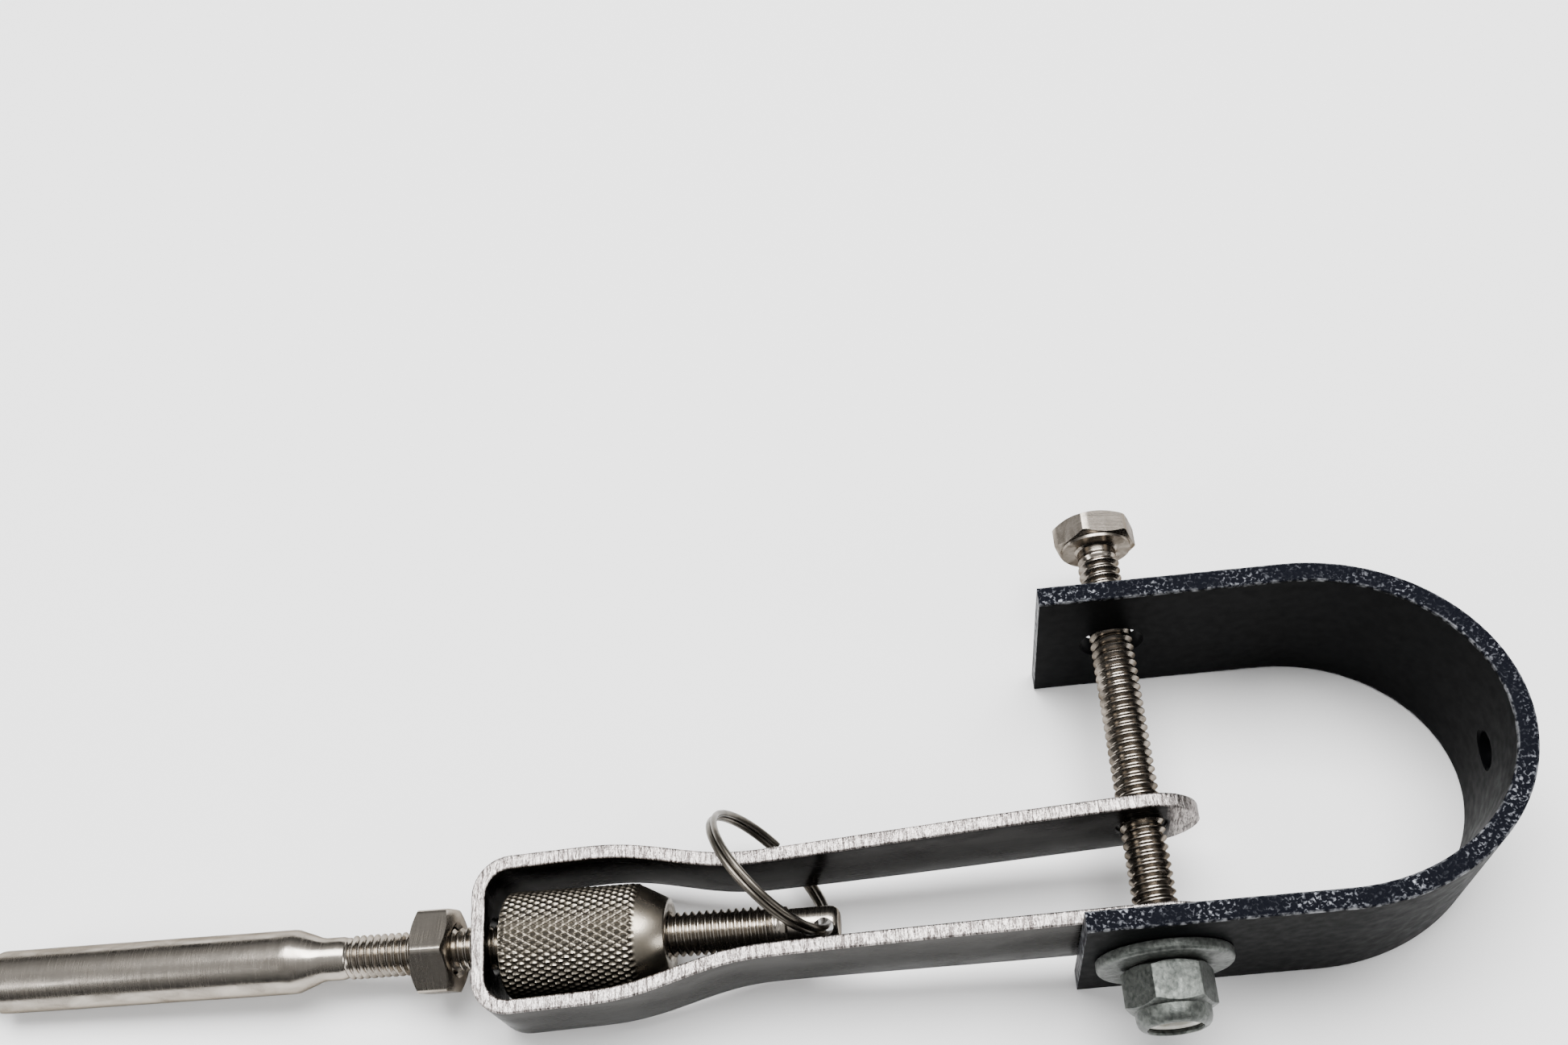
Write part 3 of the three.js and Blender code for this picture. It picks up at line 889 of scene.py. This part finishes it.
def adjuster_nut():
    sides = GROOVES * PER_GROOVE
    step = KNURL_LEAD / PER_GROOVE
    rows = round((KNURL_LENGTH - 0.75) / step)
    first = NUT_START + 0.25
    rings = [[NUT_START + 0.4, 3.35], [NUT_START, 3.75], [NUT_START, NUT_RADIUS - 0.45],
             [NUT_START + 0.1, NUT_RADIUS - 0.3]]
    for i in range(rows + 1):
        x = first + i * step
        fade = smooth_step(i, -1, 3) * (1 - smooth_step(i, rows - 3, rows + 1))

        def reach(turn, x=x, fade=fade):
            return NUT_RADIUS - KNURL_DEPTH * (1 - knurl_height(x, turn)) - 0.12 * (1 - fade)

        rings.append([x, reach])
    end = NUT_START + KNURL_LENGTH
    rings += [[end - 0.25, NUT_RADIUS - 0.42], [end, NUT_RADIUS - 0.45],
              [end + CONE_LENGTH - 0.2, 5.3], [end + CONE_LENGTH, 5.1],
              [end + CONE_LENGTH, 3.75], [end + CONE_LENGTH - 0.4, 3.35]]
    piece = turned("knurled_adjuster", rings, sides, True)
    mesh = piece.data
    # Each point's depth in the knurl, which the finish turns into the grooves' oil and painted
    # shade.
    groove = mesh.attributes.new("groove", "FLOAT", "POINT")
    for vertex in mesh.vertices:
        r = math.hypot(vertex.co.y, vertex.co.z)
        inside = first < vertex.co.x < end - 0.4 and r > NUT_RADIUS - 0.6
        depth = (NUT_RADIUS - r) / KNURL_DEPTH if inside else 0
        groove.data[vertex.index].value = min(max(depth * 1.1 - 0.15, 0), 1)
    return finish_piece(piece, STUD_FRAME, "adjuster", "adjuster_nut", knurled,
                        HARD_EDGE)


adjuster_nut()

# %% [markdown]
# ## The swaged stud
# Barrel, neck, thread and tip are one bar. The barrel was squeezed onto the rope by rolls, so its
# skin is smooth and slightly wavy with a faint flash line down each side. The thread stops short of
# a plain rounded tip, which is drilled across for the ring. Separate cylinders would leave seams
# where they meet, so one stack of rings and the thread's band are welded into one skin, and only
# the cross hole is a cut.

# %% The stud's mesh
BARREL_RADIUS = 4.6
NECK_RADIUS = 3.05
STUD_RADIUS = 3.1  # over the thread
STUD_PITCH = 1.058
STUD_THREAD_DEPTH = 0.5
TIP_RADIUS = 2.5
CROSS_HOLE = 1.3  # radius
# Stations along the stud, in mm from the hinge of the knurled nut.
BARREL_END = -76.0
BARREL_START = -29.2
NECK_END = -25.2
THREAD_START = -21.2
THREAD_END = 43.2
TIP_END = 50.7
CROSS_HOLE_AT = 48.6
CROSS_HOLE_TURN = math.radians(25)  # the hole faces a little to the near side


def barrel_reach(x):
    """The barrel's radius with two flash lines and the slight waves that the rolls leave."""

    def reach(turn):
        flash = math.exp(-(math.sin(turn - 1.1) / 0.035) ** 2)
        wave = noise.noise(Vector((x * 0.11, 1.3 * math.cos(turn), 1.3 * math.sin(turn))))
        fade = smooth_step(x, BARREL_END + 1, BARREL_END + 4) * (1 - smooth_step(x, -34, -30))
        return BARREL_RADIUS - 0.03 + fade * (0.035 * flash + 0.03 * wave)

    return reach


def swage_stud():
    mean = STUD_RADIUS - STUD_THREAD_DEPTH / 2
    thread = thread_band(THREAD_START, THREAD_END, STUD_RADIUS, STUD_THREAD_DEPTH, STUD_PITCH,
                         0.8, 3.2)
    rings = [[BARREL_END + 0.25, 0], [BARREL_END + 0.25, 2.6], [BARREL_END, 2.75],
             [BARREL_END, 3.1]]
    for a in (15, 35, 55, 75, 90):
        turn = math.radians(a)
        rings.append([BARREL_END + 1.5 * (1 - math.cos(turn)), 3.1 + 1.45 * math.sin(turn)])
    x = BARREL_END + 2.2
    while x < BARREL_START - 0.4:
        rings.append([x, barrel_reach(x)])
        x += 0.75
    rings += [[BARREL_START - 0.2, BARREL_RADIUS - 0.03],
              [BARREL_START + 0.5, BARREL_RADIUS - 0.12],
              [NECK_END - 0.8, NECK_RADIUS + 0.42], [NECK_END - 0.2, NECK_RADIUS + 0.16],
              [NECK_END + 0.7, NECK_RADIUS], [THREAD_START - 0.7, NECK_RADIUS],
              [THREAD_START, mean]]
    tip = [[THREAD_END, mean], [THREAD_END + 0.3, TIP_RADIUS - 0.06],
           [THREAD_END + 0.8, TIP_RADIUS]]
    for a in (0, 20, 40, 60, 80):
        turn = math.radians(a)
        tip.append([TIP_END - 1.3 + 1.3 * math.sin(turn), TIP_RADIUS - 1.2 + 1.2 * math.cos(turn)])
    tip.append([TIP_END, 0])
    piece = joined_mesh("swaged_stud", [ring_stack(rings, SIDES), thread, ring_stack(tip, SIDES)])
    upright = (Matrix.Translation((CROSS_HOLE_AT, 0, 0))
               @ Matrix.Rotation(CROSS_HOLE_TURN, 4, "X") @ Matrix.Rotation(math.pi / 2, 4, "Y"))
    wall = TIP_RADIUS - 0.1
    boolean(piece, drill("cross_hole", -wall, wall, CROSS_HOLE, upright, 0.15))
    return finish_piece(piece, STUD_FRAME, "stud", "swage_stud", bright_steel)


swage_stud()

# %% [markdown]
# ## The jam nut
# A plain hexagon with both ends turned off to a cone. It is spun down on the stud outside the fork
# and locks the setting. A prism could be cut by two cones, but rings whose reach varies around the
# turn give the flats and the curved edges of the cones with no cut.

# %% The jam nut
JAM_END = -4.8  # the face next to the fork
JAM_THICKNESS = 5.6
JAM_HEX = 11.5
JAM_HEX_TURN = 12  # degrees


def jam_nut():
    bore = 3.35
    start = JAM_END - JAM_THICKNESS
    rings = [[start + 0.5, bore], [start, bore + 0.55]]
    rings += hex_end(start, 1, JAM_HEX, JAM_HEX_TURN, 0.94)
    rings += hex_end(JAM_END, -1, JAM_HEX, JAM_HEX_TURN, 0.94)[::-1]
    rings += [[JAM_END, bore + 0.55], [JAM_END - 0.5, bore]]
    piece = turned("hex_jam_nut", rings, 120, True)
    return finish_piece(piece, STUD_FRAME, "jam_nut", "jam_nut", bright_steel)


jam_nut()

# %% [markdown]
# ## The split ring
# A length of spring wire wound into nearly two turns that lie side by side. It is threaded through
# the stud's cross hole and around the fork's arm, so the stud can't turn back. The wire changes
# lanes in a short slant, and its two cut ends lie against the neighbouring turn. A spiral curve
# could only climb evenly, so the wire's sections are placed one by one. Drawn wire is darker and
# more evenly smeared than turned bar, and gets its own finish for that.

# %% Spring wire finish
def spring_wire():
    finish = Finish("spring_wire", 1.0)
    smears = finish.noise((0.5, 0.5, 0.5), 3, 0.3)
    dull, light = (0.07, 0.062, 0.05), (0.15, 0.135, 0.115)
    finish.colour(finish.mix(finish.spread(smears, 0, 1), dull, light))
    finish.roughness(finish.spread(smears, 0.40, 0.27))
    finish.bump(finish.noise((6, 6, 6), 2), 0.008)
    return finish.material


wire_steel = spring_wire()
print("made", wire_steel.name)

# %% The ring's two turns
RING_RADIUS = 10.95
RING_LEAN = math.radians(36.2)  # about the cross hole
RING_TIP = math.radians(-21.4)  # its top leans back over the stud
RING_RAISE = math.radians(10.9)  # its far side is lifted by the arm
RING_BEARS_AT = (-0.55, -0.75, 0.1)  # where the wire bears, from the hole's middle
RING_TURNS = 1.93
LANE_CHANGE = (0.93, 1.03)  # turns from the first end
WIRE = 0.96
WIRE_SIDES = 14
SPLIT_AT = 0.77  # part of a turn, from the cross hole, where the wire's first end lies


def cotter_ring():
    steps = 200
    sections = []
    for i in range(steps + 1):
        t = RING_TURNS * i / steps
        turn = 2 * math.pi * (t + SPLIT_AT)
        lane = (smooth_step(t, *LANE_CHANGE) - 0.5) * WIRE
        out = Vector((0, -math.cos(turn), math.sin(turn)))
        centre = Vector((lane, RING_RADIUS, 0)) + out * RING_RADIUS
        end = min(i, steps - i)
        radius = WIRE / 2 * (0.8 if end == 0 else 1)
        sections.append([centre + out * radius * math.cos(a) + Vector((radius * math.sin(a), 0, 0))
                         for a in (2 * math.pi * k / WIRE_SIDES for k in range(WIRE_SIDES))])
    piece = loft("split_ring", sections)
    piece.data.transform(Matrix.Rotation(RING_RAISE, 4, "X"))
    piece.data.transform(Matrix.Rotation(RING_TIP, 4, "Y"))
    piece.data.transform(Matrix.Rotation(RING_LEAN, 4, "Z"))
    bears_at = Vector((CROSS_HOLE_AT, 0, 0)) + Vector(RING_BEARS_AT)
    piece.data.transform(Matrix.Translation(bears_at))
    return finish_piece(piece, STUD_FRAME, "cotter", "cotter_ring", wire_steel)


cotter_ring()

# %% [markdown]
# ## The wire rope
# Nineteen wires: one in the middle, six around it, and twelve laid the other way around those.
# Only the outer twelve show, so they are real helices, and the core is one round bar behind them.
# The rope's route is the same list of points that its plain solid follows.

# %% The rope's route and its wires
ROPE_ROUTE = [
    (-0.11079, -0.01434, 0.00461),
    (-0.1158, -0.01416, 0.0043),
    (-0.1208, -0.01398, 0.004),
    (-0.1258, -0.0138, 0.0037),
    (-0.1308, -0.01363, 0.00345),
    (-0.1358, -0.01347, 0.00327),
    (-0.1408, -0.01333, 0.00317),
    (-0.1458, -0.01321, 0.00315),
    (-0.1508, -0.01311, 0.0032),
    (-0.1558, -0.01303, 0.00333),
    (-0.1608, -0.01297, 0.00353),
    (-0.1658, -0.01293, 0.00378),
    (-0.1708, -0.0129, 0.00404),
    (-0.1758, -0.01288, 0.00429),
    (-0.1808, -0.01287, 0.0045),
    (-0.1858, -0.01286, 0.00464),
    (-0.1908, -0.01286, 0.0047),
]
ROPE_DIAMETER = 0.00476  # 3/16 inch
ROPE_WIRE = ROPE_DIAMETER / 5  # five wires lie across the rope
LAY_LENGTH = 0.042  # metres of rope to one turn of a wire
OUTER_WIRES = 12


def along_route(distance):
    """The point and direction at a distance from the route's start."""
    left = distance
    for a, b in zip(ROPE_ROUTE, ROPE_ROUTE[1:]):
        a, b = Vector(a), Vector(b)
        span = (b - a).length
        if left <= span or b == Vector(ROPE_ROUTE[-1]):
            return a + (b - a) * (left / span), (b - a).normalized()
        left -= span


ROPE_LENGTH = sum((Vector(b) - Vector(a)).length for a, b in zip(ROPE_ROUTE, ROPE_ROUTE[1:]))


def wire_tube(lane_radius, start_turn, wire_radius, lay, sides=8, steps=120):
    """One wire's vertices and faces, wound around the route at a distance from its middle."""
    vertices = []
    faces = []
    for i in range(steps + 1):
        distance = ROPE_LENGTH * i / steps
        point, along = along_route(distance)
        side = Vector((0, 0, 1)).cross(along).normalized()
        up = along.cross(side)
        turn = start_turn + 2 * math.pi * distance / lay if lay else start_turn
        out = side * math.cos(turn) + up * math.sin(turn)
        centre = point + out * lane_radius
        across = along.cross(out)
        for k in range(sides):
            a = 2 * math.pi * k / sides
            vertices.append(centre + (out * math.cos(a) + across * math.sin(a)) * wire_radius)
    for i in range(steps):
        for k in range(sides):
            a = i * sides + k
            b = i * sides + (k + 1) % sides
            faces.append((a, b, b + sides, a + sides))
    faces.append(tuple(range(sides)))
    faces.append(tuple(steps * sides + k for k in range(sides)))
    return vertices, faces


def rope_wires():
    finish = Finish("drawn_rope_wire", 1.0)
    smears = finish.noise((0.8, 0.8, 0.8), 3, 0.3)
    finish.colour(finish.mix(finish.spread(smears, 0, 1), (0.44, 0.42, 0.39), (0.68, 0.655, 0.62)))
    finish.roughness(finish.spread(smears, 0.36, 0.24))
    finish.bump(finish.noise((0.5, 6, 6), 2), 0.006)
    return finish.material


def wire_rope():
    parts = [wire_tube(0, 0, ROPE_WIRE * 1.5, 0, 16, 60)]
    for k in range(OUTER_WIRES):
        turn = 2 * math.pi * k / OUTER_WIRES
        parts.append(wire_tube(ROPE_WIRE * 2, turn, ROPE_WIRE * 0.5, LAY_LENGTH))
    to_mm = 1 / MM
    scaled = [([Vector(v) * to_mm for v in vertices], faces) for vertices, faces in parts]
    piece = joined_mesh("stranded_rope", scaled)
    return finish_piece(piece, Matrix.Scale(MM, 4), "stud", "wire_rope", rope_wires())


rope = wire_rope()
print("rope's length in metres:", round(ROPE_LENGTH, 4))

# %% [markdown]
# ## The eye at the rope's far end
# The rope has to end in something, and a swaged eye is the plainest fitting for it. The barrel is
# turned, the eye is a thick rounded disc with a bore, and a boolean joins them.

# %% The eye terminal
EYE_AT = Vector(ROPE_ROUTE[-1]) - Vector((0.3 * MM, 0, 0))
EYE_FRAME = Matrix.Translation(EYE_AT) @ Matrix.Scale(MM, 4)
EYE_RADIUS = 9.5
EYE_BORE = 4.2  # radius
EYE_HALF = 3.5  # half its thickness
EYE_CENTRE = -39.5  # mm from the rope's end


def eye_terminal():
    rings = [[EYE_CENTRE + 7, 0], [EYE_CENTRE + 7, 3.0], [-29, 2.95], [-26.6, 3.3], [-25, 4.1],
             [-23.8, 4.5], [-22.5, BARREL_RADIUS], [-1.4, BARREL_RADIUS], [-0.5, 4.2], [-0.1, 3.6],
             [0, 3.1], [0, 0]]
    barrel = turned("eye_fitting", rings, 72)
    lobe = [(EYE_HALF, EYE_RADIUS - 2.6), (3.35, EYE_RADIUS - 1.5), (2.9, EYE_RADIUS - 0.7),
            (2.1, EYE_RADIUS - 0.15), (1.0, EYE_RADIUS - 0.02)]
    up = [[z, r] for z, r in lobe]
    down = [[-z, r] for z, r in reversed(lobe)]
    disc_rings = [[EYE_HALF, EYE_BORE + 0.5], *up, [0, EYE_RADIUS - 0.01], *down,
                  [-EYE_HALF, EYE_BORE + 0.5], [-3.1, EYE_BORE + 0.12], [-2.6, EYE_BORE],
                  [2.6, EYE_BORE], [3.1, EYE_BORE + 0.12]]
    stand = Matrix.Translation((EYE_CENTRE, 0, 0)) @ Matrix.Rotation(-math.pi / 2, 4, "Y")
    disc = mesh_object("eye_disc", *ring_stack(disc_rings, 96, True), stand)
    piece = boolean(barrel, disc, "UNION")
    return finish_piece(piece, EYE_FRAME, "stud", "eye_terminal", bright_steel)


eye = eye_terminal()

# %% [markdown]
# ## Floor and light
# A plain pale floor and broad soft lights. Polished metal shows what surrounds it, so the sky is
# darker towards the horizon: that gives the bars their dark and bright bands. A studio panorama
# could surround the pieces instead, but three lights and a ramp need no file.

# %% The floor
FLOOR_REACH = 3.0  # metres
FLOOR_DROP = 0.0002  # keeps the floor just clear of what stands on it


def make_floor():
    mesh = bpy.data.meshes.new("floor")
    corners = [(-1, -1), (1, -1), (1, 1), (-1, 1)]
    mesh.from_pydata([(x * FLOOR_REACH, y * FLOOR_REACH, 0) for x, y in corners],
                     [], [(0, 1, 2, 3)])
    floor = bpy.data.objects.new("floor", mesh)
    bpy.context.scene.collection.objects.link(floor)
    floor.location.z = -FLOOR_DROP
    paper = bpy.data.materials.new("pale_paper")
    paper.use_nodes = True
    shader = paper.node_tree.nodes["Principled BSDF"]
    shader.inputs["Base Color"].default_value = (0.93, 0.93, 0.93, 1)
    shader.inputs["Roughness"].default_value = 0.9
    mesh.materials.append(paper)
    return floor


make_floor()
print("the floor is", 2 * FLOOR_REACH, "metres across")


# %% The lights
def soft_light(name, place, aim, size, power):
    data = bpy.data.lights.new(name, "AREA")
    data.shape = "RECTANGLE"
    data.size, data.size_y = size
    data.energy = power
    light = bpy.data.objects.new(name, data)
    light.location = place
    direction = Vector(aim) - Vector(place)
    light.rotation_euler = direction.to_track_quat("-Z", "Y").to_euler()
    bpy.context.scene.collection.objects.link(light)
    return light


soft_light("overhead", (0.05, 0.25, 0.9), (0, 0, 0), (0.9, 0.5), 27)
soft_light("left_window", (-0.8, -0.3, 0.55), (0, 0, 0), (0.4, 0.3), 4)
soft_light("right_fill", (0.8, -0.4, 0.5), (0.05, 0, 0), (0.3, 0.3), 2)


def soft_sky():
    world = bpy.data.worlds.new("soft_sky")
    world.use_nodes = True
    nodes, links = world.node_tree.nodes, world.node_tree.links
    background = nodes["Background"]
    place = nodes.new("ShaderNodeTexCoord")
    split = nodes.new("ShaderNodeSeparateXYZ")
    ramp = nodes.new("ShaderNodeValToRGB")
    links.new(place.outputs["Generated"], split.inputs[0])
    links.new(split.outputs["Z"], ramp.inputs["Fac"])
    links.new(ramp.outputs["Color"], background.inputs["Color"])
    ramp.color_ramp.elements[0].position = 0.15
    ramp.color_ramp.elements[0].color = (0.03, 0.03, 0.032, 1)
    ramp.color_ramp.elements[1].position = 0.95
    ramp.color_ramp.elements[1].color = (0.95, 0.95, 0.95, 1)
    background.inputs["Strength"].default_value = 0.8
    bpy.context.scene.world = world


soft_sky()
print("lights:", [light.name for light in bpy.data.lights])

# %% [markdown] ## The end
# The finished pieces have to keep the size of the plain solids.
